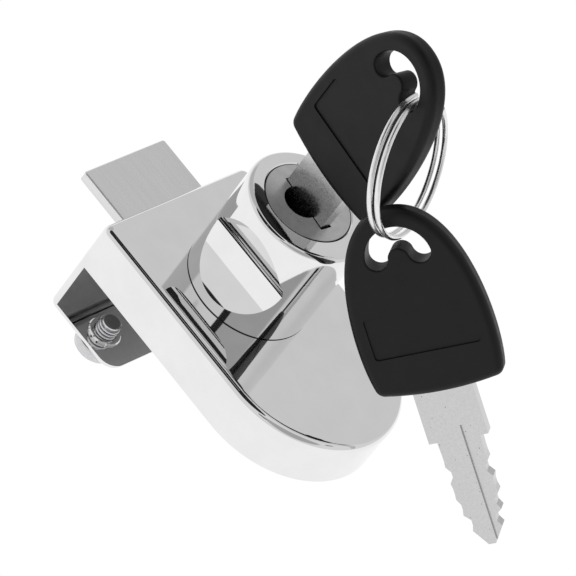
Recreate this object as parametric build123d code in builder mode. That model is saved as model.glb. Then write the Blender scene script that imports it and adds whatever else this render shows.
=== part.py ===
"""Clamp-on lock for a glass showcase door, with its two keys on a split ring.

Millimetres. +Z points out of the door, +X towards the housing's round end, and the
bolt leaves the housing towards -X. The origin lies on the plug's axis, on the rubber
pad's face, where the lock sits on the glass.
"""
import os
from math import cos, pi, radians, sin, sqrt

from build123d import *

os.makedirs("parts", exist_ok=True)

# Housing: a D-shaped case with a clamp leg folded back under its straight end
plate_width = 35.0
straight_end = 19.2        # from the turret's middle to the straight end
round_end = 33.0           # from the turret's middle to the tip of the round end
housing_depth = 9.2
side_wall = 1.4
end_wall = 1.7
plate_wall = 1.5
edge_round = 1.4
corner_round = 1.6

# Clamp
glass_gap = 9.6            # from the pad to the leg, for glass of 7 to 9 mm
leg_wall = 1.4
leg_reach = 15.8           # from the straight end to the leg's free edge
leg_corner = 3.0
bend_round = 1.3

# Back of the housing
pad_proud = 0.3            # how far the pad stands out of the housing's rim
pad_thick = 0.9
cover_thick = 1.2
cover_gap = 0.15
pad_inset = 1.2

# Turret
turret_r = 11.0
rim_round = 1.0
spigot_r = 7.1
spigot_depth = 0.75
scoop_floor = 7.35         # from the turret's middle to the deepest line of the finger scoop
scoop_low = 2.1            # from the plate up to where the scoop begins
scoop_top = 2.6            # from the turret's face down to where the scoop's flare ends
scoop_flare = 5.6          # height of the flare
scoop_tight = 2.3          # height of the tight curve under the flare
scoop_neck = 1.05          # how much shallower the scoop is where the flare begins
scoop_bend = 0.3           # and halfway up the tight curve
scoop_sweep = 1.15         # and in the middle of its long lower curve
scoop_foot = 0.5           # how far the lower curve starts outside the turret
scoop_lip = 0.2            # and how far the flare ends outside it
edge_break = 0.15
mouth_break = 0.2

# Plug and its wafers
plug_off = 0.6             # from the turret's middle towards the straight end
plug_r = 5.75
flange_r = 7.65
flange_thick = 2.9
face_recess = 0.1
moon_r = 3.1               # half-moon recess beside the keyway, to grip a worn key
moon_deep = 3.0
moon_off = 0.4             # from the plug's axis along the keyway to the recess's middle
running_gap = 0.05
wafer_count = 5
wafer_pitch = 2.9
wafer_last = 4.2           # from the key's tip up to the last wafer's middle
wafer_thick = 1.0
wafer_wide = 4.6
wafer_long = 10.4
wafer_travel = 0.8
wafer_gap = 0.1
window_gap = 0.25          # between the blade's faces and the wafer's window
spring_wire = 0.22
spring_outer = 1.0
spring_curls = 3
spring_length = 2.6
ear_half = 0.5             # half the side of the wafer's ear that the spring pushes
spring_gap = 0.1           # round the spring, and between it and the ear
pocket_wall = 0.15         # between the wafer's slot and the spring's pocket
barrel_slot_gap = 0.3      # round the wafers in the turret's slots
barrel_slot_low = 0.6      # under the last wafer
barrel_slot_high = 0.4     # over the first

# Keys
key_turn = -6.5            # degrees from the housing's length to the keyway
blade_thick = 2.0
blade_half = 3.55
shoulder_half = 4.9
shoulder_room = 2.9        # from the shoulders down to the first wafer's middle
blade_long = 28.2
tang_long = 13.5
left_cuts = (0.1, 0.7, 0.15, 0.6, 1.4)
right_cuts = (0.1, 0.75, 0.25, 0.9, 1.7)
ridge_drops = (0.0, 0.0, 0.05, 0.4, 1.1)
cut_flat = 0.45
tip_half = 0.6
groove_wide = 0.9
groove_deep = 0.45
groove_off = 1.3
groove_start = 7.2
bow_base_half = 10.25
bow_high = 30.4
bow_thick = 3.7
bow_round = 1.25
bow_base_sag = 1.0
bow_corner = 1.7
bow_belly = 2.2            # how far the sides' curves are pulled out above the base
bow_belly_rise = 6.4       # height of that pull
bow_top_pull = 1.65        # and towards the top
hole_rise = 22.3           # from the bow's base to the centre of its curved slot
hole_r = 3.55
hole_wide = 3.6
hole_end = 8.0             # degrees from the bow's width up to each end of the slot
hole_round = 0.3
panel_wide = 17.4
panel_high = 7.2
panel_rise = 9.9
panel_deep = 0.25
panel_corner = 0.6
keyway_gap = 0.15          # between the blade's faces and the keyway
blade_gap = 0.2            # between the blade's edges and the keyway
shoulder_gap = 0.3         # and at its shoulders
shoulder_seat = 1.57       # how deep the key's shoulders sink into the plug's face

# Split ring
ring_r = 11.2              # to the middle of the wire
ring_wire = 0.9
ring_gap = 0.43            # between the two strands
ring_jog = 36.0            # degrees over which the wire steps from one strand to the other
ring_jog_at = 142.0        # degrees from the ring's lowest point to the step
ring_end_gap = 4.0         # degrees from the step to the wire's two ends
ring_in_hole = (3.5, 22.98)          # where the ring goes through the first key's slot
ring_to_middle = Vector(5.936, -0.683, -9.473)
ring_lean = Vector(0.838, 0.192, 0.511)
spare_on_ring = -23.8      # degrees from the ring's lowest point to the spare key
spare_in_hole = (-0.53, 25.51)        # where the ring goes through the spare key's slot
spare_across = Vector(0.503, 0.425, 0.753)
spare_facing = Vector(0.398, -0.887, 0.236)

# Bolt and drive
bolt_thick = 2.0
bolt_inset = 7.8           # from the plate's long edge in to the bolt's
bolt_out = 11.1            # how far the bolt stands out of the housing
bolt_drop = 3.3            # from the plate's top to the bolt's top
bolt_gap = 0.15
bolt_play = 0.1            # under and over the bolt's carriage
carriage_step = 1.2        # how much wider the carriage is on each side
carriage_back = 6.6
carriage_gap = 0.3         # between the carriage and the end wall when the bolt is out
bolt_corner = 0.5
bolt_break = 0.2
cam_thick = 1.2
cam_hub_r = 4.6
cam_waist = 4.1            # half the arm's width where it leaves the hub
cam_end_r = 2.2
cam_drop = 0.35            # between the cam and the bolt
pin_r = 1.5
pin_gap = 0.35
pin_inset = 3.4            # from the carriage's edge in to the pin's widest reach
tail_side = 5.0
tail_short = 0.15          # how far the square tail stays short of the cam's underside
clip_thick = 0.54
clip_up = 0.13             # from the plate's underside up to the clip
clip_play = 0.03
clip_r = 6.25
clip_seat_r = 5.1
clip_mouth = 5.0
guide_wall = 0.7
guide_play = 0.3           # between the drawn-back bolt and the guide's stop
guide_stop = 1.2
guide_bar = 2.5            # how much of the guide lies under the bolt along its edges

# Fasteners
clamp_screw_r = 2.0
thread_pitch = 0.7
thread_deep = 0.35
clamp_screw_back = 9.4     # from the straight end to the screw
clamp_screw_inset = 4.4    # from the plate's long edge in to the screw
clamp_tip_out = 2.9        # how far the screw's tip stands out of the leg
pan_head_r = 3.9
pan_head_high = 3.0
tip_pad_r = 1.35
tip_pad_high = 0.5
tip_pad_proud = 0.12
tip_fit = 0.02             # between the soft tip and its socket
head_rest = 0.05           # between the screw's head and the leg
collar_r = 2.9
collar_high = 0.45
small_screw_r = 1.0
small_head_r = 1.95
small_head_high = 0.95
head_sunk = 0.02           # how far the countersunk heads lie below their faces
driver_slot = 0.6
driver_deep = 0.5
driver_long = 3.1
turret_screw_reach = 9.4   # from the turret's middle
turret_screw_long = 6.5
cover_screw_short = 1.0    # from the plate's underside down to the cover screws' ends
blind_past = 0.4           # how far a blind hole runs past its screw
cam_screw_r = 1.45
cam_head_r = 3.1
cam_head_high = 1.5
cam_head_break = 0.3
cam_screw_short = 0.6      # from the keyway's floor down to the cam screw's end
recess_wide = 0.9
boss_r = 1.75
boss_side = 2.5            # from the long walls in to the bosses' middles
boss_end = 4.0             # from the straight end's wall to the first two bosses
boss_round = 5.8           # from the round end's wall to the third
rib_wide = 2.4
rib_gap = 0.4              # between the ribs and the end of the cam's swing
keyway_up = 1.73           # from the plate's underside to the floor of the keyway
tip_gap = 0.3              # under the key's tip

# Heights and places that follow from the sizes above
half_width = plate_width / 2
straight_x = plug_off - straight_end
round_x = plug_off + round_end - half_width
rim_z = pad_proud
plate_top = rim_z + housing_depth
plate_under = plate_top - plate_wall
leg_top = -glass_gap
leg_under = leg_top - leg_wall
leg_end = straight_x + leg_reach
clamp_tip_z = leg_top + clamp_tip_out
cover_low = pad_thick
cover_top = cover_low + cover_thick
keyway_floor = plate_under + keyway_up
blade_tip = keyway_floor + tip_gap
bow_base = blade_tip + blade_long
wafer_first = blade_long - wafer_last - wafer_pitch * (wafer_count - 1)
shoulder_long = wafer_first - shoulder_room
shoulder_floor = bow_base - shoulder_long
plug_face = shoulder_floor + shoulder_seat
turret_top = plug_face + face_recess
flange_under = plug_face - flange_thick
bolt_top = plate_top - bolt_drop
bolt_under = bolt_top - bolt_thick
cam_under = bolt_top + cam_drop
cam_top = cam_under + cam_thick
bolt_half = half_width - bolt_inset
carriage_half = bolt_half + carriage_step
pin_reach = carriage_half - pin_inset
bolt_travel = pin_reach * sqrt(2)
clamp_screw_x = straight_x + clamp_screw_back
clamp_screw_y = half_width - clamp_screw_inset
boss_x = straight_x + end_wall + boss_end
boss_far_x = plug_off + round_end - end_wall - boss_round
boss_y = half_width - side_wall - boss_side
boss_places = ((boss_x, boss_y), (boss_x, -boss_y), (boss_far_x, 0))
turret_screw_places = (plug_off - turret_screw_reach, plug_off + turret_screw_reach)
cover_screw_end = plate_under - cover_screw_short
keyway_half = blade_thick / 2 + keyway_gap
cam_screw_end = keyway_floor - cam_screw_short
clip_low = plate_under + clip_up
wafer_levels = [bow_base - wafer_first - wafer_pitch * n for n in range(wafer_count)]
screw_gap = 0.05
lap = 0.2                  # how deep joined forms sink into each other
past = 1.0                 # how far a cut runs past the face it opens

key_angle = radians(key_turn)
key_way = Vector(cos(key_angle), sin(key_angle), 0)
key_face = Vector(sin(key_angle), -cos(key_angle), 0)
turned = Location((0, 0, 0), (0, 0, key_turn))
upright = Plane(origin=(0, 0, bow_base), x_dir=key_way, z_dir=key_face)


def finish(piece, name, place=Location()):
    """Put a finished piece in its place, name it and write it out."""
    placed = place * piece.part
    placed.label = name
    export_step(placed, f"parts/{name}.step")


def d_outline(side_inset, end_inset):
    """Housing outline seen from the front, drawn in by the given walls."""
    half = half_width - side_inset
    end = straight_x + end_inset
    with BuildSketch() as outline:
        with BuildLine():
            Line((end, -half), (round_x, -half))
            ThreePointArc((round_x, -half), (round_x + half, 0), (round_x, half))
            Line((round_x, half), (end, half))
            Line((end, half), (end, -half))
        make_face()
    return outline.sketch


def block(low, high, mode=Mode.ADD):
    """Box between two corners."""
    size = [b - a for a, b in zip(low, high)]
    middle = Vector(*[(a + b) / 2 for a, b in zip(low, high)])
    with Locations(middle):
        Box(*size, mode=mode)


def rod(x, y, low, high, r, mode=Mode.ADD):
    """Upright cylinder between two heights."""
    with Locations((x, y, (low + high) / 2)):
        Cylinder(r, high - low, mode=mode)


def turn_profile(x, y, points, mode=Mode.ADD):
    """Solid turned about an upright axis from (radius, height) points."""
    with BuildSketch(Plane(origin=(x, y, 0), x_dir=(1, 0, 0), z_dir=(0, -1, 0))) as profile:
        with BuildLine():
            Polyline(*points, close=True)
        make_face()
    revolve(profile.sketch, axis=Axis((x, y, 0), (0, 0, 1)), mode=mode)


def screw_hole(x, y, low, high):
    """Countersunk hole whose head side is its lower face."""
    hole_r = small_screw_r + screw_gap
    sink_r = small_head_r + screw_gap
    profile = (
        (0, low - past),
        (sink_r, low - past),
        (sink_r, low),
        (hole_r, low + small_head_high),
        (hole_r, high + past),
        (0, high + past),
    )
    turn_profile(x, y, profile, Mode.SUBTRACT)


def small_screw(x, y, low, high):
    """Slotted countersunk screw, with its head at the lower end."""
    profile = (
        (0, low + head_sunk),
        (small_head_r, low + head_sunk),
        (small_screw_r, low + small_head_high),
        (small_screw_r, high),
        (0, high),
    )
    turn_profile(x, y, profile)
    half_slot = driver_slot / 2
    half_long = driver_long / 2
    block(
        (x - half_slot, y - half_long, low - past),
        (x + half_slot, y + half_long, low + driver_deep),
        Mode.SUBTRACT,
    )


# Housing: die-cast D-shaped case with the clamp bridge and leg in one piece
with BuildPart() as housing:
    with BuildSketch(Plane.XY.offset(rim_z)):
        add(d_outline(0, 0))
    extrude(amount=housing_depth)
    block((straight_x, -half_width, leg_under), (straight_x + end_wall, half_width, plate_under))
    block((straight_x, -half_width, leg_under), (leg_end, half_width, leg_top))
    leg_corners = housing.edges().filter_by(Axis.Z).group_by(Axis.Z)[0]
    fillet(leg_corners, leg_corner)
    tall_corners = housing.edges().filter_by(Axis.Z).group_by(Axis.X)[0]
    fillet(tall_corners, corner_round)
    outer_bend = housing.edges().filter_by(Axis.Y).group_by(Axis.Z)[0].sort_by(Axis.X)[0]
    fillet(outer_bend, bend_round)
    front_rim = housing.faces().sort_by(Axis.Z)[-1].edges()
    fillet(front_rim, edge_round)
    with BuildSketch(Plane.XY.offset(rim_z)):
        add(d_outline(side_wall, end_wall))
    extrude(amount=housing_depth - plate_wall, mode=Mode.SUBTRACT)
    for x, y in boss_places:
        rod(x, y, cover_top, plate_under + lap, boss_r)
    for side in (-1, 1):
        rib_in = side * (pin_reach + cam_end_r + rib_gap)
        rib_out = rib_in + side * rib_wide
        block(
            (straight_x + end_wall - lap, min(rib_in, rib_out), bolt_top + bolt_play),
            (carriage_back + bolt_travel, max(rib_in, rib_out), plate_under + lap),
        )
    for x, y in boss_places:
        hole_top = cover_screw_end + blind_past
        rod(x, y, cover_top - past, hole_top, small_screw_r + screw_gap, Mode.SUBTRACT)
    block(
        (straight_x - past, -bolt_half - bolt_gap, bolt_under - bolt_gap),
        (straight_x + end_wall + past, bolt_half + bolt_gap, bolt_top + bolt_gap),
        Mode.SUBTRACT,
    )
    rod(plug_off, 0, plate_under - past, plate_top + past, spigot_r + running_gap, Mode.SUBTRACT)
    for x in turret_screw_places:
        screw_hole(x, 0, plate_under, plate_top)
    for side in (-1, 1):
        turn_profile(
            clamp_screw_x,
            side * clamp_screw_y,
            (
                (0, leg_top - lap),
                (collar_r, leg_top - lap),
                (collar_r, leg_top + collar_high * 0.5),
                (collar_r - collar_high * 0.5, leg_top + collar_high),
                (0, leg_top + collar_high),
            ),
        )
        rod(
            clamp_screw_x,
            side * clamp_screw_y,
            leg_under - past,
            leg_top + past,
            clamp_screw_r + running_gap,
            Mode.SUBTRACT,
        )
finish(housing, "housing")


# Turret: the round barrel that stands on the plate, waisted by two finger scoops
def scoop_profile(side):
    """Section of one finger scoop, across the turret."""
    outside = turret_r + past
    low_y = turret_r + scoop_foot
    low_z = plate_top + scoop_low - scoop_foot
    top_y = turret_r + scoop_lip
    top_z = turret_top - scoop_top
    neck_y = scoop_floor + scoop_neck
    neck_z = top_z - scoop_flare
    floor_z = neck_z - scoop_tight
    mid_y = scoop_floor + scoop_sweep
    mid_z = low_z + (floor_z - low_z) * 0.43
    bend_y = scoop_floor + scoop_bend
    bend_z = (floor_z + neck_z) / 2
    with BuildSketch() as scoop:
        with BuildLine():
            Line((side * outside, low_z), (side * low_y, low_z))
            ThreePointArc((side * low_y, low_z), (side * mid_y, mid_z), (side * scoop_floor, floor_z))
            ThreePointArc((side * scoop_floor, floor_z), (side * bend_y, bend_z), (side * neck_y, neck_z))
            Line((side * neck_y, neck_z), (side * top_y, top_z))
            Line((side * top_y, top_z), (side * outside, top_z))
            Line((side * outside, top_z), (side * outside, low_z))
        make_face()
    return scoop.sketch


with BuildPart() as turret:
    rod(plug_off, 0, plate_top, turret_top, turret_r)
    for side in (-1, 1):
        with BuildSketch(Plane.YZ):
            add(scoop_profile(side))
        extrude(amount=turret_r + plug_off + past, both=True, mode=Mode.SUBTRACT)
    rim_edge = turret.edges().filter_by(GeomType.CIRCLE).group_by(Axis.Z)[-1]
    fillet(rim_edge, rim_round)
    foot_edge = turret.edges().filter_by(GeomType.CIRCLE).group_by(Axis.Z)[0]
    chamfer(foot_edge, edge_break)
    rod(plug_off, 0, plate_top - spigot_depth, plate_top + lap, spigot_r)
    rod(0, 0, plate_top - spigot_depth - past, turret_top + past, plug_r + running_gap, Mode.SUBTRACT)
    rod(0, 0, flange_under - running_gap, turret_top + past, flange_r + running_gap, Mode.SUBTRACT)
    mouth = turret.edges().filter_by(GeomType.CIRCLE).group_by(Axis.Z)[-1]
    chamfer(mouth, mouth_break)
    slot_reach = wafer_long / 2 + wafer_travel + barrel_slot_gap
    slot_half = wafer_wide / 2 + barrel_slot_gap
    slot_low = wafer_levels[-1] - wafer_thick / 2 - barrel_slot_low
    slot_high = wafer_levels[0] + wafer_thick / 2 + barrel_slot_high
    with Locations(turned):
        block((-slot_reach, -slot_half, slot_low), (slot_reach, slot_half, slot_high), Mode.SUBTRACT)
        block((-slot_half, -slot_reach, slot_low), (slot_half, slot_reach, slot_high), Mode.SUBTRACT)
    screw_room = plate_top + turret_screw_long + blind_past
    for x in turret_screw_places:
        rod(x, 0, plate_top - past, screw_room, small_screw_r + screw_gap, Mode.SUBTRACT)
finish(turret, "turret")


# Turret screws: two countersunk screws from inside the housing
with BuildPart() as turret_screws:
    for x in turret_screw_places:
        small_screw(x, 0, plate_under, plate_top + turret_screw_long)
finish(turret_screws, "turret_screws")

# Back cover: stamped plate let into the housing's back
with BuildPart() as back_cover:
    with BuildSketch(Plane.XY.offset(cover_low)):
        add(d_outline(side_wall + cover_gap, end_wall + cover_gap))
    extrude(amount=cover_thick)
    for x, y in boss_places:
        screw_hole(x, y, cover_low, cover_top)
finish(back_cover, "back_cover")

# Cover screws: three countersunk screws into the housing's bosses
with BuildPart() as cover_screws:
    for x, y in boss_places:
        small_screw(x, y, cover_low, cover_screw_end)
finish(cover_screws, "cover_screws")

# Glass pad: rubber sheet glued to the cover, which sits on the glass
with BuildPart() as glass_pad:
    with BuildSketch():
        add(d_outline(side_wall + pad_inset, end_wall + pad_inset))
    extrude(amount=pad_thick)
finish(glass_pad, "glass_pad")


# Bolt guide: nylon frame under and beside the bolt, with a stop behind it
guide_in = carriage_half + bolt_gap
guide_out = guide_in + guide_wall
guide_front = straight_x + end_wall + bolt_gap
guide_back = carriage_back + bolt_travel + guide_play
with BuildPart() as bolt_guide:
    block((guide_front, -guide_out, cover_top), (guide_back + guide_stop, guide_out, bolt_top))
    block(
        (guide_front - past, -guide_in, bolt_under - bolt_play),
        (guide_back, guide_in, bolt_top + past),
        Mode.SUBTRACT,
    )
    block(
        (guide_front + guide_bar, -guide_in + guide_bar, cover_top - past),
        (guide_back - guide_bar, guide_in - guide_bar, bolt_top + past),
        Mode.SUBTRACT,
    )
finish(bolt_guide, "bolt_guide")


# Plug: turned barrel with a flange, the keyway, wafer slots and a square tail
pocket_half = spring_outer / 2 + spring_gap
pocket_y = wafer_wide / 2 + pocket_half + pocket_wall
spring_start = ear_half + spring_gap


def wafer_side(index):
    """Alternate wafers are pushed to opposite sides of the plug."""
    return -1 if index % 2 == 0 else 1


with BuildPart() as plug:
    rod(0, 0, cam_top, flange_under + lap, plug_r)
    rod(0, 0, flange_under, plug_face, flange_r)
    face_edge = plug.edges().filter_by(GeomType.CIRCLE).group_by(Axis.Z)[-1]
    chamfer(face_edge, edge_break)
    half_tail = tail_side / 2
    block((-half_tail, -half_tail, cam_under + tail_short), (half_tail, half_tail, cam_top + lap))
    block(
        (-shoulder_half - shoulder_gap, -keyway_half, shoulder_floor),
        (shoulder_half + shoulder_gap, keyway_half, plug_face + past),
        Mode.SUBTRACT,
    )
    block(
        (-blade_half - blade_gap, -keyway_half, keyway_floor),
        (blade_half + blade_gap, keyway_half, plug_face + past),
        Mode.SUBTRACT,
    )
    rod(-moon_off, -keyway_half, plug_face - moon_deep, plug_face + past, moon_r, Mode.SUBTRACT)
    for index, level in enumerate(wafer_levels):
        low = level - wafer_thick / 2 - wafer_gap
        high = level + wafer_thick / 2 + wafer_gap
        reach = wafer_wide / 2 + wafer_gap
        block((-plug_r - past, -reach, low), (plug_r + past, reach, high), Mode.SUBTRACT)
        away = -wafer_side(index)
        ear_end = -away * (ear_half + wafer_travel + lap)
        spring_end = away * (spring_start + spring_length + spring_gap)
        block(
            (min(ear_end, spring_end), 0, low),
            (max(ear_end, spring_end), pocket_y + pocket_half, high),
            Mode.SUBTRACT,
        )
    groove = (
        (clip_seat_r, clip_low - clip_play),
        (plug_r + past, clip_low - clip_play),
        (plug_r + past, clip_low + clip_thick + clip_play),
        (clip_seat_r, clip_low + clip_thick + clip_play),
    )
    turn_profile(0, 0, groove, Mode.SUBTRACT)
    rod(0, 0, cam_under - past, cam_screw_end + lap, cam_screw_r + screw_gap, Mode.SUBTRACT)
finish(plug, "plug", turned)


# Wafers: brass plates with a window for the key and an ear for the spring
for index, level in enumerate(wafer_levels):
    side = wafer_side(index)
    with BuildPart() as wafer:
        with BuildSketch(Plane.XY.offset(level - wafer_thick / 2)):
            Rectangle(wafer_long, wafer_wide)
            with Locations((0, wafer_wide / 2 + ear_half)):
                Rectangle(2 * ear_half, 2 * ear_half + lap)
            Rectangle(2 * (blade_half + wafer_travel), blade_thick + 2 * window_gap, mode=Mode.SUBTRACT)
        extrude(amount=wafer_thick)
    finish(wafer, f"wafer_{index + 1}", turned)


def biarc(first, first_way, last, last_way):
    """Draw two arcs that leave one point and reach another in the given directions."""
    chord = last - first
    both = first_way + last_way
    a = both.dot(both) - 4
    b = -2 * chord.dot(both)
    c = chord.dot(chord)
    reach = -c / b if abs(a) < 1e-9 else (-b - sqrt(b * b - 4 * a * c)) / (2 * a)
    if reach < 0:
        reach = (-b + sqrt(b * b - 4 * a * c)) / (2 * a)
    near = first + first_way * reach
    far = last - last_way * reach
    meet = (near + far) * 0.5
    meet_way = (far - near).normalized()
    TangentArc(first, meet, tangent=first_way)
    TangentArc(meet, last, tangent=meet_way)


def coil(middle, axis, across, r, pitch, turns):
    """Draw a helix about an axis, as two arcs to each quarter turn."""
    third = axis.cross(across)
    climb = pitch / (2 * pi * r)

    def spot(angle):
        along = axis * (pitch * angle / (2 * pi))
        return middle + across * (r * cos(angle)) + third * (r * sin(angle)) + along

    def way(angle):
        return (third * cos(angle) - across * sin(angle) + axis * climb).normalized()

    for n in range(4 * turns):
        start = n * pi / 2
        end = start + pi / 2
        biarc(spot(start), way(start), spot(end), way(end))


# Wafer springs: small coils that push the wafers out by their ears
spring_r = (spring_outer - spring_wire) / 2
spring_pitch = (spring_length - spring_wire) / spring_curls
for index, level in enumerate(wafer_levels):
    away = -wafer_side(index)
    coil_start = Vector(away * (spring_start + spring_wire / 2), pocket_y, level)
    with BuildPart() as wafer_spring:
        with BuildLine() as spring_line:
            coil(coil_start, Vector(away, 0, 0), Vector(0, 1, 0), spring_r, spring_pitch, spring_curls)
        with BuildSketch(Plane(origin=spring_line.wire() @ 0, z_dir=spring_line.wire() % 0)):
            Circle(spring_wire / 2)
        sweep(path=spring_line.wire())
    finish(wafer_spring, f"wafer_spring_{index + 1}", turned)

# Plug clip: spring-steel C washer that holds the plug in the turret
with BuildPart() as plug_clip:
    clip_top = clip_low + clip_thick
    rod(0, 0, clip_low, clip_top, clip_r)
    rod(0, 0, clip_low - past, clip_top + past, clip_seat_r + clip_play, Mode.SUBTRACT)
    block(
        (-clip_r - past, -clip_mouth / 2, clip_low - past),
        (0, clip_mouth / 2, clip_top + past),
        Mode.SUBTRACT,
    )
finish(plug_clip, "plug_clip")

# Drive cam: crank on the plug's square tail, with the pin that carries the bolt
pin_x = -bolt_travel / 2
pin_y = bolt_travel / 2
with BuildPart() as drive_cam:
    with BuildSketch(Plane.XY.offset(cam_under)):
        Circle(cam_hub_r)
        with Locations((pin_x, pin_y)):
            Circle(cam_end_r)
        square = Vector(pin_y, -pin_x).normalized()
        hub_edge = square * cam_waist
        end_edge = square * cam_end_r
        pin_spot = Vector(pin_x, pin_y)
        with BuildLine():
            Polyline(hub_edge, pin_spot + end_edge, pin_spot - end_edge, -hub_edge, close=True)
        make_face()
        tail_room = tail_side + 2 * clip_play
        Rectangle(tail_room, tail_room, rotation=key_turn, mode=Mode.SUBTRACT)
    extrude(amount=cam_thick)
    rod(pin_x, pin_y, bolt_under + bolt_play, cam_under + lap, pin_r)
finish(drive_cam, "drive_cam")

# Cam screw: holds the cam on the plug's tail
with BuildPart() as cam_screw:
    turn_profile(
        0,
        0,
        (
            (0, cam_under - cam_head_high),
            (cam_head_r - cam_head_break, cam_under - cam_head_high),
            (cam_head_r, cam_under - cam_head_high + cam_head_break),
            (cam_head_r, cam_under),
            (cam_screw_r, cam_under),
            (cam_screw_r, cam_screw_end),
            (0, cam_screw_end),
        ),
    )
    for angle in (0, 90):
        with Locations(Location((0, 0, cam_under - cam_head_high), (0, 0, angle))):
            Box(cam_head_r, recess_wide, cam_head_high, mode=Mode.SUBTRACT)
finish(cam_screw, "cam_screw")

# Bolt: flat stamped steel tongue with a wider carriage inside the housing
bolt_tip = straight_x - bolt_out
carriage_front = straight_x + end_wall + carriage_gap
with BuildPart() as bolt:
    block((bolt_tip, -bolt_half, bolt_under), (carriage_back, bolt_half, bolt_top))
    tip_corners = bolt.edges().filter_by(Axis.Z).group_by(Axis.X)[0]
    fillet(tip_corners, bolt_corner)
    block((carriage_front, -carriage_half, bolt_under), (carriage_back, carriage_half, bolt_top))
    chamfer(bolt.faces().sort_by(Axis.X)[0].edges(), bolt_break)
    head_room = cam_head_r + pin_gap
    pin_room = pin_r + pin_gap
    window_low = bolt_under - past
    window_high = bolt_top + past
    block(
        (-bolt_travel - head_room, -head_room, window_low),
        (head_room, head_room, window_high),
        Mode.SUBTRACT,
    )
    block(
        (pin_x - pin_room, 0, window_low),
        (pin_x + pin_room, pin_reach + pin_room, window_high),
        Mode.SUBTRACT,
    )
finish(bolt, "bolt")


def clamp_screw_profile():
    """Half section of a threaded pan head screw with a socket for its tip."""
    root_r = clamp_screw_r - thread_deep
    head_low = leg_under - pan_head_high - head_rest
    head_high = leg_under - head_rest
    socket_r = tip_pad_r + tip_fit
    points = [
        (0, head_low),
        (pan_head_r * 0.56, head_low),
        (pan_head_r * 0.87, head_low + pan_head_high * 0.22),
        (pan_head_r, head_low + pan_head_high * 0.57),
        (pan_head_r, head_high),
        (root_r, head_high),
    ]
    turns = int((clamp_tip_z - leg_under) / thread_pitch - 0.5)
    for n in range(turns):
        low = leg_under + lap + n * thread_pitch
        points.append((root_r, low))
        points.append((clamp_screw_r, low + thread_pitch * 0.42))
        points.append((clamp_screw_r, low + thread_pitch * 0.55))
    points.append((root_r, leg_under + lap + turns * thread_pitch))
    points.append((root_r, clamp_tip_z))
    points.append((socket_r, clamp_tip_z))
    points.append((socket_r, clamp_tip_z - tip_pad_high))
    points.append((0, clamp_tip_z - tip_pad_high))
    return points


# Clamp screws: M4 pan heads that come up through the leg and press on the glass
for name, side in (("near", -1), ("far", 1)):
    screw_y = side * clamp_screw_y
    with BuildPart() as clamp_screw:
        turn_profile(clamp_screw_x, screw_y, clamp_screw_profile())
        recess_z = leg_under - pan_head_high - head_rest
        for angle in (0, 90):
            with Locations(Location((clamp_screw_x, screw_y, recess_z), (0, 0, angle))):
                Box(pan_head_r, recess_wide, pan_head_high, mode=Mode.SUBTRACT)
    finish(clamp_screw, f"clamp_screw_{name}")
    with BuildPart() as screw_tip:
        rod(clamp_screw_x, screw_y, clamp_tip_z - tip_pad_high, clamp_tip_z + tip_pad_proud, tip_pad_r)
    finish(screw_tip, f"screw_tip_{name}")


# Keys: cut steel blades moulded into plastic bows
def make_blade(plane, name):
    """Key blade with shoulders, cuts on both edges and a milled groove in each face."""

    def edge_points(cuts, sign):
        points = [(sign * blade_half, -shoulder_long)]
        for n, cut in enumerate(cuts):
            level = -wafer_first - wafer_pitch * n
            edge = sign * (blade_half - cut)
            ridge = sign * (blade_half - ridge_drops[n])
            points.append((edge, level + cut_flat))
            points.append((edge, level - cut_flat))
            points.append((ridge, level - wafer_pitch / 2))
        return points

    right = edge_points(right_cuts, 1)
    left = edge_points(left_cuts, -1)
    with BuildPart() as blade:
        with BuildSketch(plane):
            with BuildLine():
                Polyline(
                    (shoulder_half, tang_long),
                    (shoulder_half, -shoulder_long),
                    *right,
                    (tip_half, -blade_long),
                    (-tip_half, -blade_long),
                    *reversed(left),
                    (-shoulder_half, -shoulder_long),
                    (-shoulder_half, tang_long),
                    close=True,
                )
            make_face()
        extrude(amount=blade_thick / 2, both=True)
        groove_long = blade_long - groove_start
        for side in (-1, 1):
            with BuildSketch(plane.offset(side * (blade_thick / 2 - groove_deep))):
                with Locations((side * groove_off, -blade_long - past)):
                    Rectangle(groove_wide, groove_long + past, align=(Align.CENTER, Align.MIN))
            extrude(amount=side * (groove_deep + past), mode=Mode.SUBTRACT)
    finish(blade, name)


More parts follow.
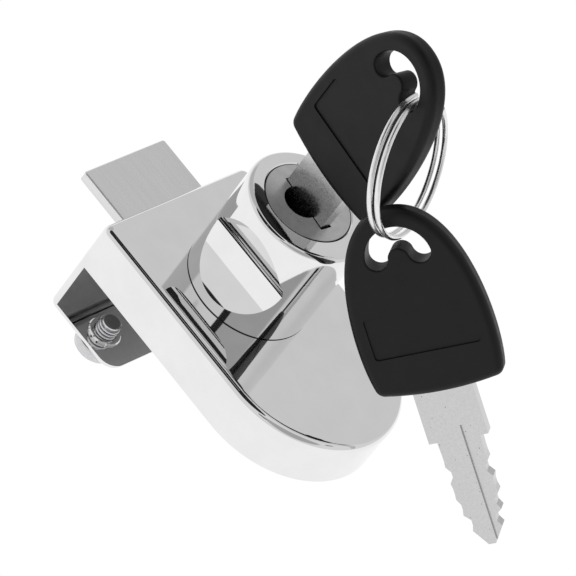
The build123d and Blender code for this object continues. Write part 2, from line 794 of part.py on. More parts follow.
def make_bow(plane, name):
    """Plastic bow: rounded shield with a curved slot and a bare sunk panel on each face."""
    across = Axis((0, 0, 0), plane.z_dir)
    slot_in = hole_r - hole_wide / 2
    slot_out = hole_r + hole_wide / 2
    with BuildPart() as bow:
        with BuildSketch(plane):
            with BuildLine():
                for side in (-1, 1):
                    Bezier(
                        (side * bow_base_half, 0),
                        (side * (bow_base_half + bow_belly), bow_belly_rise),
                        (side * (bow_base_half + bow_top_pull), bow_high),
                        (0, bow_high),
                    )
                ThreePointArc((-bow_base_half, 0), (0, -bow_base_sag), (bow_base_half, 0))
            make_face()
        extrude(amount=bow_thick / 2, both=True)
        fillet(bow.edges().filter_by(across), bow_corner)
        fillet(bow.faces().filter_by(across).edges(), bow_round)
        with BuildSketch(plane):
            with BuildLine():
                CenterArc((0, hole_rise), slot_out, hole_end, 180 - 2 * hole_end)
                CenterArc((0, hole_rise), slot_in, hole_end, 180 - 2 * hole_end)
                end_u = hole_r * cos(radians(hole_end))
                end_v = hole_rise + hole_r * sin(radians(hole_end))
                CenterArc((end_u, end_v), hole_wide / 2, 180 + hole_end, 180)
                CenterArc((-end_u, end_v), hole_wide / 2, 180 - hole_end, 180)
            make_face()
        extrude(amount=bow_thick, both=True, mode=Mode.SUBTRACT)
        rim_high = bow_thick / 4
        slot_rims = [
            edge
            for edge in bow.edges(Select.LAST)
            if abs((edge @ 0.5 - plane.origin).dot(plane.z_dir)) > rim_high
        ]
        fillet(slot_rims, hole_round)
        for side in (-1, 1):
            with BuildSketch(plane.offset(side * (bow_thick / 2 - panel_deep))):
                with Locations((0, panel_rise)):
                    RectangleRounded(panel_wide, panel_high, panel_corner)
            extrude(amount=side * (panel_deep + past), mode=Mode.SUBTRACT)
        with BuildSketch(plane):
            with Locations((0, -past - bow_base_sag)):
                tang_room = tang_long + past + bow_base_sag
                Rectangle(2 * shoulder_half, tang_room, align=(Align.CENTER, Align.MIN))
        extrude(amount=blade_thick / 2, both=True, mode=Mode.SUBTRACT)
    finish(bow, name)


make_blade(upright, "key_blade")
make_bow(upright, "key_bow")

# Split ring: one wire wound twice round, with a step from one strand to the other
hole_spot = upright.from_local_coords(Vector(ring_in_hole[0], ring_in_hole[1], 0))
to_middle = ring_to_middle.normalized()
ring_axis = (ring_lean - to_middle * ring_lean.dot(to_middle)).normalized()
ring_middle = hole_spot + to_middle * ring_r
down = Vector(0, 0, -1)
ring_low = (down - ring_axis * down.dot(ring_axis)).normalized()
ring_side = ring_axis.cross(ring_low)
strand_off = (ring_wire + ring_gap) / 2


def ring_spot(angle, offset):
    """Point on the ring, by its angle in degrees from the lowest point."""
    a = radians(angle)
    return ring_middle + ring_low * (ring_r * cos(a)) + ring_side * (ring_r * sin(a)) + ring_axis * offset


def ring_way(angle):
    """Direction in which the wire runs at that angle."""
    a = radians(angle)
    return ring_side * cos(a) - ring_low * sin(a)


jog_start = ring_jog_at - ring_jog / 2
jog_end = ring_jog_at + ring_jog / 2
wire_start = jog_end - 360 + ring_end_gap
wire_end = jog_start + 360 - ring_end_gap
with BuildPart() as split_ring:
    with BuildLine() as ring_line:
        ThreePointArc(
            ring_spot(wire_start, -strand_off),
            ring_spot((wire_start + jog_start) / 2, -strand_off),
            ring_spot(jog_start, -strand_off),
        )
        biarc(
            ring_spot(jog_start, -strand_off),
            ring_way(jog_start),
            ring_spot(jog_end, strand_off),
            ring_way(jog_end),
        )
        ThreePointArc(
            ring_spot(jog_end, strand_off),
            ring_spot((jog_end + wire_end) / 2, strand_off),
            ring_spot(wire_end, strand_off),
        )
    with BuildSketch(Plane(origin=ring_line.wire() @ 0, z_dir=ring_line.wire() % 0)):
        Circle(ring_wire / 2)
    sweep(path=ring_line.wire())
finish(split_ring, "split_ring")

ring_wire_line = ring_line.wire()
samples = 240
spots = [ring_wire_line @ (n / samples) for n in range(samples + 1)]
least_gap = ring_r
for n in range(samples):
    for m in range(n + samples // 8, samples + 1):
        least_gap = min(least_gap, (spots[n] - spots[m]).length - ring_wire)
print("least gap of the ring's wire to itself, mm:", round(least_gap, 3))

# Spare key: hangs on the ring
spare_spot = ring_spot(spare_on_ring, 0)
spare_x = spare_across.normalized()
spare_z = (spare_facing - spare_x * spare_facing.dot(spare_x)).normalized()
spare_y = spare_z.cross(spare_x)
spare_base = spare_spot - spare_x * spare_in_hole[0] - spare_y * spare_in_hole[1]
spare_plane = Plane(origin=spare_base, x_dir=spare_x, z_dir=spare_z)
make_blade(spare_plane, "spare_key_blade")
make_bow(spare_plane, "spare_key_bow")
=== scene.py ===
"""Clamp-on lock for a glass showcase door, dressed for its picture.

Metres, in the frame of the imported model: +Z out of the door, +X towards the case's
round end, origin on the plug's axis in the face of the glass pad.
"""
import math

import bmesh
import bpy
from mathutils import Matrix, Vector


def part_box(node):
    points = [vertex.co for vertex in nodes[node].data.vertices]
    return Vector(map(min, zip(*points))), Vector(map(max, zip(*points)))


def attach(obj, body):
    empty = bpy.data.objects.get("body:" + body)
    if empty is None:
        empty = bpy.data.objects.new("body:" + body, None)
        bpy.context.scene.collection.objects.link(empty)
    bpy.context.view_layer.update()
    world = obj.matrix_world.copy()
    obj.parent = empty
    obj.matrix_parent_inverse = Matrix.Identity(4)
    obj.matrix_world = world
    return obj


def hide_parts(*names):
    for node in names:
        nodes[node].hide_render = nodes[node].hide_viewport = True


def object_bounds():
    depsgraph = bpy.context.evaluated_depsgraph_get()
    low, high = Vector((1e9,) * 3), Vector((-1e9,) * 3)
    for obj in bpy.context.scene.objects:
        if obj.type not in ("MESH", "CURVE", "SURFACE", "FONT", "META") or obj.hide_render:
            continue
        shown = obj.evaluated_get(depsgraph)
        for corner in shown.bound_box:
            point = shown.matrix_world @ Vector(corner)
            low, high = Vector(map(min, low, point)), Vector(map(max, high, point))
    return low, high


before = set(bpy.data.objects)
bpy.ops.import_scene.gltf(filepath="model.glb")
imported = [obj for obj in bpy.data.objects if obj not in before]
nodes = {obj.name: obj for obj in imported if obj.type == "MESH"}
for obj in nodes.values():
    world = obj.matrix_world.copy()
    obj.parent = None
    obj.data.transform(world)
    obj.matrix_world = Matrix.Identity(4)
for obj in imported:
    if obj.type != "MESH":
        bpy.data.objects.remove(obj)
start_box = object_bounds()

# The photographer's camera: a long lens, 41 degrees above the plate and a little to
# the right of the lock's near side. The picture is square, with no shift.
cam_data = bpy.data.cameras.new("camera")
cam_data.sensor_width = 36.0
cam_data.lens = 312.55
cam_data.clip_start = 0.05
cam_data.clip_end = 20.0
camera = bpy.data.objects.new("camera", cam_data)
bpy.context.scene.collection.objects.link(camera)
cam_place = Vector((0.19687, -0.56656, 0.53408))
cam_right = Vector((0.6132, 0.6357, 0.4689))
cam_down = Vector((0.7522, -0.2888, -0.5922))
cam_forward = Vector((-0.2410, 0.7159, -0.6553))
cam_turn = Matrix((cam_right, -cam_down, -cam_forward)).transposed()
camera.matrix_world = Matrix.Translation(cam_place) @ cam_turn.to_4x4()
bpy.context.scene.camera = camera
bpy.context.scene.view_settings.view_transform = "Standard"
bpy.context.scene.view_settings.look = "None"


# The studio: a white, evenly lit table top and a pale tent of cloth all round it. Grey
# and black cards hang in the tent, and the chrome shows them as tones and streaks.
def add_node(tree, kind, links=None, **settings):
    """Add a node with its settings, and set or link its inputs."""
    made = tree.nodes.new(kind)
    for name, value in settings.items():
        setattr(made, name, value)
    for name, value in (links or {}).items():
        if isinstance(value, bpy.types.NodeSocket):
            tree.links.new(value, made.inputs[name])
        else:
            made.inputs[name].default_value = value
    return made


def linear(code):
    """Turn an sRGB hex colour into the linear one that shaders use."""
    parts = [int(code[i : i + 2], 16) / 255 for i in (1, 3, 5)]
    return [p / 12.92 if p <= 0.04045 else ((p + 0.055) / 1.055) ** 2.4 for p in parts] + [1.0]


def new_object(name, mesh):
    """Link a mesh into the scene as an object at the origin."""
    made = bpy.data.objects.new(name, mesh)
    bpy.context.scene.collection.objects.link(made)
    return made


table_half = 3.0
table_gap = 0.0002
table_z = start_box[0].z - table_gap
table_mesh = bpy.data.meshes.new("table")
quarters = ((-1, -1), (1, -1), (1, 1), (-1, 1))
corners = [(x * table_half, y * table_half, table_z) for x, y in quarters]
table_mesh.from_pydata(corners, [], [(0, 1, 2, 3)])
table = new_object("table", table_mesh)
table_paint = bpy.data.materials.new("lit_white_table_top")
table_paint.use_nodes = True
table_shader = table_paint.node_tree.nodes["Principled BSDF"]
table_shader.inputs["Base Color"].default_value = linear("#202020")
table_shader.inputs["Roughness"].default_value = 1.0
table_shader.inputs["Specular IOR Level"].default_value = 0.0
table_shader.inputs["Emission Color"].default_value = (1.0, 1.0, 1.0, 1.0)
table_shader.inputs["Emission Strength"].default_value = 1.0
table_mesh.materials.append(table_paint)

world = bpy.data.worlds.new("studio")
bpy.context.scene.world = world
world.use_nodes = True
sky = world.node_tree
sky.nodes.clear()
way = add_node(sky, "ShaderNodeTexCoord").outputs["Generated"]
tent_grey = 0.77
cards = (  # direction to the card's middle, its inner and outer angle in degrees, its shade
    ((-0.24, 0.72, 0.66), 40, 60, 0.67),  # behind the lock, seen in the plate
    ((0.60, -0.42, 0.66), 22, 27, 0.42),  # grey card to the right
    ((-0.73, 0.15, 0.66), 24, 30, 0.50),  # grey card to the left
    ((0.74, 0.13, 0.66), 3, 4, 0.02),  # small black flag to the right
    ((-0.241, -0.366, 0.899), 21, 22.5, 0.02),  # black flag overhead: the edge's dark line
    ((-0.241, -0.366, 0.899), 0.8, 2.0, 0.60),  # slit in that flag
    ((0.241, -0.716, 0.655), 4, 5.5, 0.02),  # hole for the lens
)
tone = add_node(sky, "ShaderNodeRGB").outputs[0]
tone.default_value = (tent_grey, tent_grey, tent_grey, 1.0)
for centre, inner, outer, shade in cards:
    aim = Vector(centre).normalized()
    facing = add_node(sky, "ShaderNodeVectorMath", {0: way, 1: aim}, operation="DOT_PRODUCT")
    rim = {
        "Value": facing.outputs["Value"],
        "From Min": math.cos(math.radians(outer)),
        "From Max": math.cos(math.radians(inner)),
    }
    edge = add_node(sky, "ShaderNodeMapRange", rim, interpolation_type="SMOOTHSTEP").outputs[0]
    shades = {0: edge, 6: tone, 7: (shade, shade, shade, 1.0)}
    tone = add_node(sky, "ShaderNodeMix", shades, data_type="RGBA").outputs[2]
backdrop = add_node(sky, "ShaderNodeBackground", {"Color": tone, "Strength": 1.0})
add_node(sky, "ShaderNodeOutputWorld", {"Surface": backdrop.outputs[0]})

softbox_data = bpy.data.lights.new("softbox", "AREA")
softbox_data.size = 0.6
softbox_data.energy = 5.0
softbox_aim = Vector((0, 0, 0.02))
softbox = bpy.data.objects.new("softbox", softbox_data)
softbox.location = (-0.7, 0.2, 0.9)
softbox.rotation_mode = "QUATERNION"
softbox.rotation_quaternion = (softbox_aim - softbox.location).to_track_quat("-Z", "Y")
softbox.visible_glossy = False  # the chrome shows the cards alone
bpy.context.scene.collection.objects.link(softbox)


# Chromed zinc die castings: the case with its clamp leg, and the turret that is screwed
# to it from inside. The plating mirrors the studio over a skin that is very slightly
# wavy and here and there a little duller; painted shade darkens the crease at the turret's foot.
def new_finish(name, metallic=0.0, specular=0.5):
    """Make a material on Object coordinates: itself, its tree, shader and coordinates."""
    made = bpy.data.materials.new(name)
    made.use_nodes = True
    shader = made.node_tree.nodes["Principled BSDF"]
    shader.inputs["Metallic"].default_value = metallic
    shader.inputs["Specular IOR Level"].default_value = specular
    place = add_node(made.node_tree, "ShaderNodeTexCoord").outputs["Object"]
    return made, made.node_tree, shader, place


wave_size = 0.011  # a wave of the cast skin, metres
wave_depth = 0.00003
cloud_size = 0.005
foot_shade_high = 0.00022  # the painted shade's height at the turret's foot, and the share of it that is darkest
foot_shade_darkest = 0.6
turret_sunk = 0.00075  # the turret's foot sits this deep in the case
plate_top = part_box("turret")[0].z + turret_sunk
for name in ("housing", "turret"):
    chrome, tree, shader, place = new_finish(f"bright_chrome_on_zinc_{name}", metallic=1.0)
    clouds = add_node(
        tree, "ShaderNodeTexNoise", {"Vector": place, "Scale": 1 / cloud_size, "Detail": 3.0}
    ).outputs["Fac"]
    tones = {0: clouds, 6: linear("#E4E4E4"), 7: linear("#EFEFEF")}
    plating = add_node(tree, "ShaderNodeMix", tones, data_type="RGBA").outputs[2]
    if name == "turret":
        # painted shade: a thin dark band on the turret's foot where it meets the case
        height = add_node(tree, "ShaderNodeSeparateXYZ", {0: place}).outputs["Z"]
        foot = {"Value": height, "From Min": plate_top + foot_shade_high * foot_shade_darkest}
        foot["From Max"] = plate_top + foot_shade_high
        clear = add_node(tree, "ShaderNodeMapRange", foot).outputs[0]
        foot_shade_mix = {0: clear, 6: linear("#2A2A2B"), 7: plating}
        plating = add_node(tree, "ShaderNodeMix", foot_shade_mix, data_type="RGBA").outputs[2]
    dull = {"Value": clouds, "From Min": 0.3, "From Max": 0.7, "To Min": 0.015, "To Max": 0.05}
    rough = add_node(tree, "ShaderNodeMapRange", dull).outputs[0]
    waves = add_node(
        tree, "ShaderNodeTexNoise", {"Vector": place, "Scale": 1 / wave_size}
    ).outputs["Fac"]
    skin = add_node(tree, "ShaderNodeBump", {"Height": waves, "Distance": wave_depth})
    tree.links.new(plating, shader.inputs["Base Color"])
    tree.links.new(rough, shader.inputs["Roughness"])
    tree.links.new(skin.outputs[0], shader.inputs["Normal"])
    nodes[name].material_slots[0].material = chrome

# Working parts inside and behind the case: zinc plated steel, stamped brass wafers on
# spring wire, a nylon guide and the rubber pad that sits on the glass. They hardly show
# on a whole lock, and each keeps the fine grain of its stamping, drawing or mould.
steel_parts = ["turret_screws", "cover_screws", "cam_screw", "drive_cam", "plug_clip", "back_cover"]
wafers = [f"wafer_{n}" for n in range(1, 6)]
wafer_springs = [f"wafer_spring_{n}" for n in range(1, 6)]
rough_spread = 0.05
inner_relief = 0.04  # depth of the grain, as a share of its size
inner_finishes = (  # finish, pieces, two tones, metallic, roughness, grain in metres
    ("zinc_plated_steel", steel_parts, "#868688", "#ACACAE", 1.0, 0.35, 0.0004),
    ("stamped_brass", wafers, "#C29B47", "#DFBC6D", 1.0, 0.30, 0.0004),
    ("drawn_spring_steel", wafer_springs, "#94949A", "#B4B4B8", 1.0, 0.25, 0.0003),
    ("moulded_white_nylon", ["bolt_guide"], "#D5D5CD", "#E8E8E2", 0.0, 0.50, 0.0005),
    ("moulded_grey_rubber", ["glass_pad"], "#9E9E9E", "#B2B2B2", 0.0, 0.80, 0.0006),
)
for finish, pieces, dark, light, metallic, roughness, grain in inner_finishes:
    made, tree, shader, place = new_finish(finish, metallic)
    grains = add_node(
        tree, "ShaderNodeTexNoise", {"Vector": place, "Scale": 1 / grain, "Detail": 3.0}
    ).outputs["Fac"]
    tones = {0: grains, 6: linear(dark), 7: linear(light)}
    colour = add_node(tree, "ShaderNodeMix", tones, data_type="RGBA").outputs[2]
    dull = {"Value": grains, "From Min": 0.3, "From Max": 0.7}
    dull |= {"To Min": roughness - rough_spread, "To Max": roughness + rough_spread}
    rough = add_node(tree, "ShaderNodeMapRange", dull).outputs[0]
    skin = add_node(tree, "ShaderNodeBump", {"Height": grains, "Distance": grain * inner_relief})
    tree.links.new(colour, shader.inputs["Base Color"])
    tree.links.new(rough, shader.inputs["Roughness"])
    tree.links.new(skin.outputs[0], shader.inputs["Normal"])
    for piece in pieces:
        nodes[piece].material_slots[0].material = made

# Turning barrel: a turned brass plug, nickel plated with a satin face, held in the turret
# by its clip. The lathe leaves faint rings round its axis. Painted shade darkens the
# keyway and the half-moon hollow deeper down, and the gap round the rim.
plug_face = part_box("plug")[1].z
shade_full_depth = 0.0026  # metres below the face where the painted shade is fully dark
shade_start_depth = 0.00025
gap_shade_from = 0.00748  # radius where the painted shade in the gap round the flange starts, and where it is dark
gap_shade_to = 0.00758
lathe_feed = 0.00035  # coarser than a real cut, so that it shows
lathe_mark = 0.0000012  # depth of a ring
stain_size = 0.0016
satin, tree, shader, place = new_finish("satin_nickel_on_turned_brass", metallic=1.0)
stains = add_node(
    tree, "ShaderNodeTexNoise", {"Vector": place, "Scale": 1 / stain_size, "Detail": 5.0}
).outputs["Fac"]
tones = {0: stains, 6: linear("#A8A8A8"), 7: linear("#D4D4D4")}
nickel = add_node(tree, "ShaderNodeMix", tones, data_type="RGBA").outputs[2]
apart = add_node(tree, "ShaderNodeSeparateXYZ", {0: place}).outputs
flat = add_node(tree, "ShaderNodeCombineXYZ", {"X": apart["X"], "Y": apart["Y"]}).outputs[0]
radius = add_node(tree, "ShaderNodeVectorMath", {0: flat}, operation="LENGTH").outputs["Value"]
# painted shade: darker with depth in the keyway and the half-moon hollow
depth_shade_range = {"Value": apart["Z"], "From Min": plug_face - shade_full_depth, "From Max": plug_face - shade_start_depth}
above_depth_shade = add_node(tree, "ShaderNodeMapRange", depth_shade_range).outputs[0]
face_with_depth_shade = add_node(
    tree, "ShaderNodeMix", {0: above_depth_shade, 6: linear("#161616"), 7: nickel}, data_type="RGBA"
).outputs[2]
# painted shade: the plug's rim in the gap round the flange is near black
rim = {"Value": radius, "From Min": gap_shade_from, "From Max": gap_shade_to}
in_gap_shade = add_node(tree, "ShaderNodeMapRange", rim).outputs[0]
colour = add_node(
    tree, "ShaderNodeMix", {0: in_gap_shade, 6: face_with_depth_shade, 7: linear("#101010")}, data_type="RGBA"
).outputs[2]
dull = {"Value": stains, "From Min": 0.3, "From Max": 0.7, "To Min": 0.26, "To Max": 0.38}
rough = add_node(tree, "ShaderNodeMapRange", dull).outputs[0]
phase = {0: radius, 1: 2 * math.pi / lathe_feed}
turns = add_node(tree, "ShaderNodeMath", phase, operation="MULTIPLY").outputs[0]
rings = add_node(tree, "ShaderNodeMath", {0: turns}, operation="SINE").outputs[0]
skin = add_node(tree, "ShaderNodeBump", {"Height": rings, "Distance": lathe_mark})
tree.links.new(colour, shader.inputs["Base Color"])
tree.links.new(rough, shader.inputs["Roughness"])
tree.links.new(skin.outputs[0], shader.inputs["Normal"])
nodes["plug"].material_slots[0].material = satin

# Sliding bolt, stamped from steel strip and nickel plated, carried behind the turret. It
# is an even satin grey, with the faint lines that rolling leaves along the strip.
strip_line = 0.0005  # width of a rolling line; each is drawn out along the strip
strip_stretch = 0.06
strip_mark = 0.000002
rolled, tree, shader, place = new_finish("satin_nickel_on_rolled_steel", metallic=1.0)
stretch = {"Vector": place, "Scale": (strip_stretch, 1.0, 1.0)}
along = add_node(tree, "ShaderNodeMapping", stretch).outputs[0]
lines = add_node(
    tree, "ShaderNodeTexNoise", {"Vector": along, "Scale": 1 / strip_line, "Detail": 3.0}
).outputs["Fac"]
tones = {0: lines, 6: linear("#D6D6D6"), 7: linear("#E4E4E4")}
colour = add_node(tree, "ShaderNodeMix", tones, data_type="RGBA").outputs[2]
dull = {"Value": lines, "From Min": 0.3, "From Max": 0.7, "To Min": 0.20, "To Max": 0.28}
rough = add_node(tree, "ShaderNodeMapRange", dull).outputs[0]
skin = add_node(tree, "ShaderNodeBump", {"Height": lines, "Distance": strip_mark})
tree.links.new(colour, shader.inputs["Base Color"])
tree.links.new(rough, shader.inputs["Roughness"])
tree.links.new(skin.outputs[0], shader.inputs["Normal"])
nodes["bolt"].material_slots[0].material = rolled

# Two M4 pan head clamp screws of nickel plated steel. They come up through the tapped
# leg and press on the glass with a soft dark tip. The thread is rolled, so it stands
# out on a thinner core, and the cross recess is punched into the head.
screw_core = 0.00165  # radius under the thread; with the ridges it is 2 mm, an M4
thread_pitch = 0.0007
thread_high = 0.00035
thread_from = 0.0029
tip_socket = 0.00137
socket_deep = 0.0005
head_r = 0.0039
head_high = 0.0030
head_shape = (  # share of the head's radius, share of its height
    (0.50, 0.0),
    (0.78, 0.10),
    (0.93, 0.30),
    (0.99, 0.60),
    (1.0, 0.90),
    (0.97, 1.0),
)
recess_wide = 0.0009
recess_long = 0.0042
recess_deep = 0.0014
recess_taper = 0.45  # the cross narrows to this at its bottom
round_steps = 64
screw_grain = 0.0004
screw_relief = 0.01
tip_relief = 0.04
point_long = 0.6  # the point's length and depth, as shares of the thread's height
point_deep = 0.2

bright, tree, shader, place = new_finish("bright_nickel_on_steel", metallic=1.0)
grains = add_node(
    tree, "ShaderNodeTexNoise", {"Vector": place, "Scale": 1 / screw_grain, "Detail": 3.0}
).outputs["Fac"]
tones = {0: grains, 6: linear("#BCBCBE"), 7: linear("#DCDCDE")}
colour = add_node(tree, "ShaderNodeMix", tones, data_type="RGBA").outputs[2]
dull = {"Value": grains, "From Min": 0.3, "From Max": 0.7, "To Min": 0.12, "To Max": 0.22}
rough = add_node(tree, "ShaderNodeMapRange", dull).outputs[0]
skin = add_node(tree, "ShaderNodeBump", {"Height": grains, "Distance": screw_grain * screw_relief})
tree.links.new(colour, shader.inputs["Base Color"])
tree.links.new(rough, shader.inputs["Roughness"])
tree.links.new(skin.outputs[0], shader.inputs["Normal"])

soft_tip, tree, shader, place = new_finish("moulded_dark_nylon")
grains = add_node(
    tree, "ShaderNodeTexNoise", {"Vector": place, "Scale": 1 / screw_grain, "Detail": 3.0}
).outputs["Fac"]
tones = {0: grains, 6: linear("#585858"), 7: linear("#707070")}
colour = add_node(tree, "ShaderNodeMix", tones, data_type="RGBA").outputs[2]
dull = {"Value": grains, "From Min": 0.3, "From Max": 0.7, "To Min": 0.45, "To Max": 0.55}
rough = add_node(tree, "ShaderNodeMapRange", dull).outputs[0]
skin = add_node(tree, "ShaderNodeBump", {"Height": grains, "Distance": screw_grain * tip_relief})
tree.links.new(colour, shader.inputs["Base Color"])
tree.links.new(rough, shader.inputs["Roughness"])
tree.links.new(skin.outputs[0], shader.inputs["Normal"])

thread_tree = bpy.data.node_groups.new("rolled_thread", "GeometryNodeTree")
for label in ("Radius", "Pitch", "Turns", "Ridge"):
    thread_tree.interface.new_socket(label, in_out="INPUT", socket_type="NodeSocketFloat")
thread_tree.interface.new_socket("Foot", in_out="INPUT", socket_type="NodeSocketVector")
thread_tree.interface.new_socket("Finish", in_out="INPUT", socket_type="NodeSocketMaterial")
thread_tree.interface.new_socket("Geometry", in_out="OUTPUT", socket_type="NodeSocketGeometry")
given = add_node(thread_tree, "NodeGroupInput").outputs
climb = {0: given["Pitch"], 1: given["Turns"]}
rise = add_node(thread_tree, "ShaderNodeMath", climb, operation="MULTIPLY").outputs[0]
spiral = {
    "Resolution": 48,
    "Rotations": given["Turns"],
    "Start Radius": given["Radius"],
    "End Radius": given["Radius"],
    "Height": rise,
}
helix = add_node(thread_tree, "GeometryNodeCurveSpiral", spiral).outputs[0]
upright = add_node(thread_tree, "GeometryNodeSetCurveNormal", {"Curve": helix}, mode="Z_UP")
section = {"Resolution": 4, "Radius": given["Ridge"]}
ridge = add_node(thread_tree, "GeometryNodeCurvePrimitiveCircle", section)
sweep = {"Curve": upright.outputs[0], "Profile Curve": ridge.outputs[0], "Fill Caps": True}
wound = add_node(thread_tree, "GeometryNodeCurveToMesh", sweep).outputs[0]
lift = {"Geometry": wound, "Translation": given["Foot"]}
raised = add_node(thread_tree, "GeometryNodeTransform", lift).outputs[0]
whole = add_node(thread_tree, "GeometryNodeRealizeInstances", {0: raised}).outputs[0]
dressing = {"Geometry": whole, "Material": given["Finish"]}
dressed = add_node(thread_tree, "GeometryNodeSetMaterial", dressing)
add_node(thread_tree, "NodeGroupOutput", {"Geometry": dressed.outputs[0]})
sockets = {item.name: item.identifier for item in thread_tree.interface.items_tree}

for side in ("near", "far"):
    low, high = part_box(f"clamp_screw_{side}")
    axis = Vector(((low.x + high.x) / 2, (low.y + high.y) / 2, 0))
    under_head = low.z + head_high
    outline = [(0, low.z)]
    outline += [(head_r * wide, low.z + head_high * up) for wide, up in head_shape]
    outline += [(screw_core, under_head), (screw_core, high.z - thread_high * point_long)]
    outline += [(screw_core - thread_high * point_deep, high.z), (tip_socket, high.z)]
    outline += [(tip_socket, high.z - socket_deep), (0, high.z - socket_deep)]
    body = bmesh.new()
    loops = []
    for r, z in outline:
        loops.append([])
        for n in range(round_steps if r else 1):
            a = 2 * math.pi * n / round_steps
            spot = (axis.x + r * math.cos(a), axis.y + r * math.sin(a), z)
            loops[-1].append(body.verts.new(spot))
    for lower, upper in zip(loops, loops[1:]):
        for n in range(round_steps):
            m = (n + 1) % round_steps
            if len(lower) == 1:
                body.faces.new((lower[0], upper[m], upper[n]))
            elif len(upper) == 1:
                body.faces.new((lower[n], lower[m], upper[0]))
            else:
                body.faces.new((lower[n], lower[m], upper[m], upper[n]))
    screw_mesh = bpy.data.meshes.new(f"pan_screw_{side}")
    body.to_mesh(screw_mesh)
    body.free()
    screw = new_object(f"pan_screw_{side}", screw_mesh)

    punch = bmesh.new()
    for long_x, long_y in ((recess_long, recess_wide), (recess_wide, recess_long)):
        for vert in bmesh.ops.create_cube(punch, size=1.0)["verts"]:
            taper = recess_taper if vert.co.z > 0 else 1.0
            x = vert.co.x * long_x * (taper if long_x > long_y else 1.0)
            y = vert.co.y * long_y * (taper if long_y > long_x else 1.0)
            vert.co = axis + Vector((x, y, low.z + vert.co.z * 2 * recess_deep))
    punch_mesh = bpy.data.meshes.new("recess_punch")
    punch.to_mesh(punch_mesh)
    punch.free()
    punch_object = new_object("recess_punch", punch_mesh)
    cut = screw.modifiers.new("cross_recess", "BOOLEAN")
    cut.operation = "DIFFERENCE"
    cut.solver = "EXACT"
    cut.use_self = True
    cut.object = punch_object
    depsgraph = bpy.context.evaluated_depsgraph_get()
    punched = bpy.data.meshes.new_from_object(screw.evaluated_get(depsgraph))
    screw.modifiers.clear()
    bpy.data.objects.remove(punch_object)

    thread = new_object("thread", bpy.data.meshes.new("thread"))
    winding = thread.modifiers.new("rolled_thread", "NODES")
    winding.node_group = thread_tree
    winding[sockets["Radius"]] = screw_core
    winding[sockets["Pitch"]] = thread_pitch
    winding[sockets["Turns"]] = (high.z - low.z - thread_from - thread_high) / thread_pitch
    winding[sockets["Ridge"]] = thread_high
    winding[sockets["Foot"]] = (axis.x, axis.y, low.z + thread_from)
    winding[sockets["Finish"]] = bright
    depsgraph = bpy.context.evaluated_depsgraph_get()
    wound_mesh = bpy.data.meshes.new_from_object(thread.evaluated_get(depsgraph))
    bpy.data.objects.remove(thread)

    joined = bmesh.new()
    joined.from_mesh(punched)
    joined.from_mesh(wound_mesh)
    bmesh.ops.recalc_face_normals(joined, faces=joined.faces)
    for face in joined.faces:
        face.material_index = 0
    screw_mesh.clear_geometry()
    joined.to_mesh(screw_mesh)
    joined.free()
    screw_mesh.materials.append(bright)
    nodes[f"screw_tip_{side}"].material_slots[0].material = soft_tip
    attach(screw, f"clamp_{side}")
    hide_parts(f"clamp_screw_{side}")

# The key in the lock and its spare. Their blades are stamped from brass strip and nickel
# plated: a fine satin with a few dark pits where the plating has worn through.
blade_grain = 0.0004
blade_relief = 0.005
pit_apart = 0.0011  # distance between pits; a pit's radius is 0.05 to 0.09 of it
blade_nickel, tree, shader, place = new_finish("satin_nickel_on_stamped_brass", metallic=1.0)
grains = add_node(
    tree, "ShaderNodeTexNoise", {"Vector": place, "Scale": 1 / blade_grain, "Detail": 4.0}
).outputs["Fac"]
tones = {0: grains, 6: linear("#BCBCBC"), 7: linear("#D6D6D6")}
nickel = add_node(tree, "ShaderNodeMix", tones, data_type="RGBA").outputs[2]
cells = add_node(
    tree, "ShaderNodeTexVoronoi", {"Vector": place, "Scale": 1 / pit_apart}
).outputs["Distance"]
pits = {"Value": cells, "From Min": 0.05, "From Max": 0.09}
sound = add_node(tree, "ShaderNodeMapRange", pits).outputs[0]
colour = add_node(
    tree, "ShaderNodeMix", {0: sound, 6: linear("#5C5B59"), 7: nickel}, data_type="RGBA"
).outputs[2]
dull = {"Value": grains, "From Min": 0.3, "From Max": 0.7, "To Min": 0.21, "To Max": 0.31}
rough = add_node(tree, "ShaderNodeMapRange", dull).outputs[0]
skin = add_node(tree, "ShaderNodeBump", {"Height": grains, "Distance": blade_grain * blade_relief})
tree.links.new(colour, shader.inputs["Base Color"])
tree.links.new(rough, shader.inputs["Roughness"])
tree.links.new(skin.outputs[0], shader.inputs["Normal"])
nodes["key_blade"].material_slots[0].material = blade_nickel
nodes["spare_key_blade"].material_slots[0].material = blade_nickel

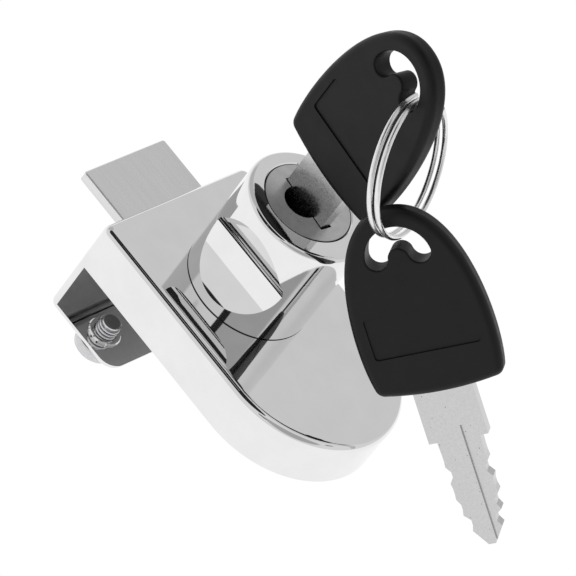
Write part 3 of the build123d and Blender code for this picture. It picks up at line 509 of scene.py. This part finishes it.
# Bows of black ABS, moulded round the blades. The mould was spark eroded, which gives
# the plastic a soft, dull skin that only takes a light along its rounded edges.
spark_grain = 0.00022
spark_deep = 0.000012
patch_size = 0.003
abs_plastic, tree, shader, place = new_finish("black_abs_spark_eroded", specular=0.26)
grains = add_node(
    tree, "ShaderNodeTexNoise", {"Vector": place, "Scale": 1 / spark_grain, "Detail": 3.0}
).outputs["Fac"]
patches = add_node(
    tree, "ShaderNodeTexNoise", {"Vector": place, "Scale": 1 / patch_size, "Detail": 4.0}
).outputs["Fac"]
tones = {0: patches, 6: linear("#040405"), 7: linear("#0B0B0C")}
colour = add_node(tree, "ShaderNodeMix", tones, data_type="RGBA").outputs[2]
dull = {"Value": patches, "From Min": 0.3, "From Max": 0.7, "To Min": 0.40, "To Max": 0.52}
rough = add_node(tree, "ShaderNodeMapRange", dull).outputs[0]
skin = add_node(tree, "ShaderNodeBump", {"Height": grains, "Distance": spark_deep})
tree.links.new(colour, shader.inputs["Base Color"])
tree.links.new(rough, shader.inputs["Roughness"])
tree.links.new(skin.outputs[0], shader.inputs["Normal"])
nodes["key_bow"].material_slots[0].material = abs_plastic
nodes["spare_key_bow"].material_slots[0].material = abs_plastic

# Split ring, wound from two turns of hard spring wire and nickel plated. The wire is
# drawn through a die, so its shine is broken by fine lines and a soft unevenness.
wire_grain = 0.0007
wire_relief = 0.01
wire_nickel, tree, shader, place = new_finish("bright_nickel_on_spring_wire", metallic=1.0)
grains = add_node(
    tree, "ShaderNodeTexNoise", {"Vector": place, "Scale": 1 / wire_grain, "Detail": 3.0}
).outputs["Fac"]
tones = {0: grains, 6: linear("#DCDCDC"), 7: linear("#F4F4F4")}
colour = add_node(tree, "ShaderNodeMix", tones, data_type="RGBA").outputs[2]
dull = {"Value": grains, "From Min": 0.3, "From Max": 0.7, "To Min": 0.17, "To Max": 0.27}
rough = add_node(tree, "ShaderNodeMapRange", dull).outputs[0]
skin = add_node(tree, "ShaderNodeBump", {"Height": grains, "Distance": wire_grain * wire_relief})
tree.links.new(colour, shader.inputs["Base Color"])
tree.links.new(rough, shader.inputs["Roughness"])
tree.links.new(skin.outputs[0], shader.inputs["Normal"])
nodes["split_ring"].material_slots[0].material = wire_nickel
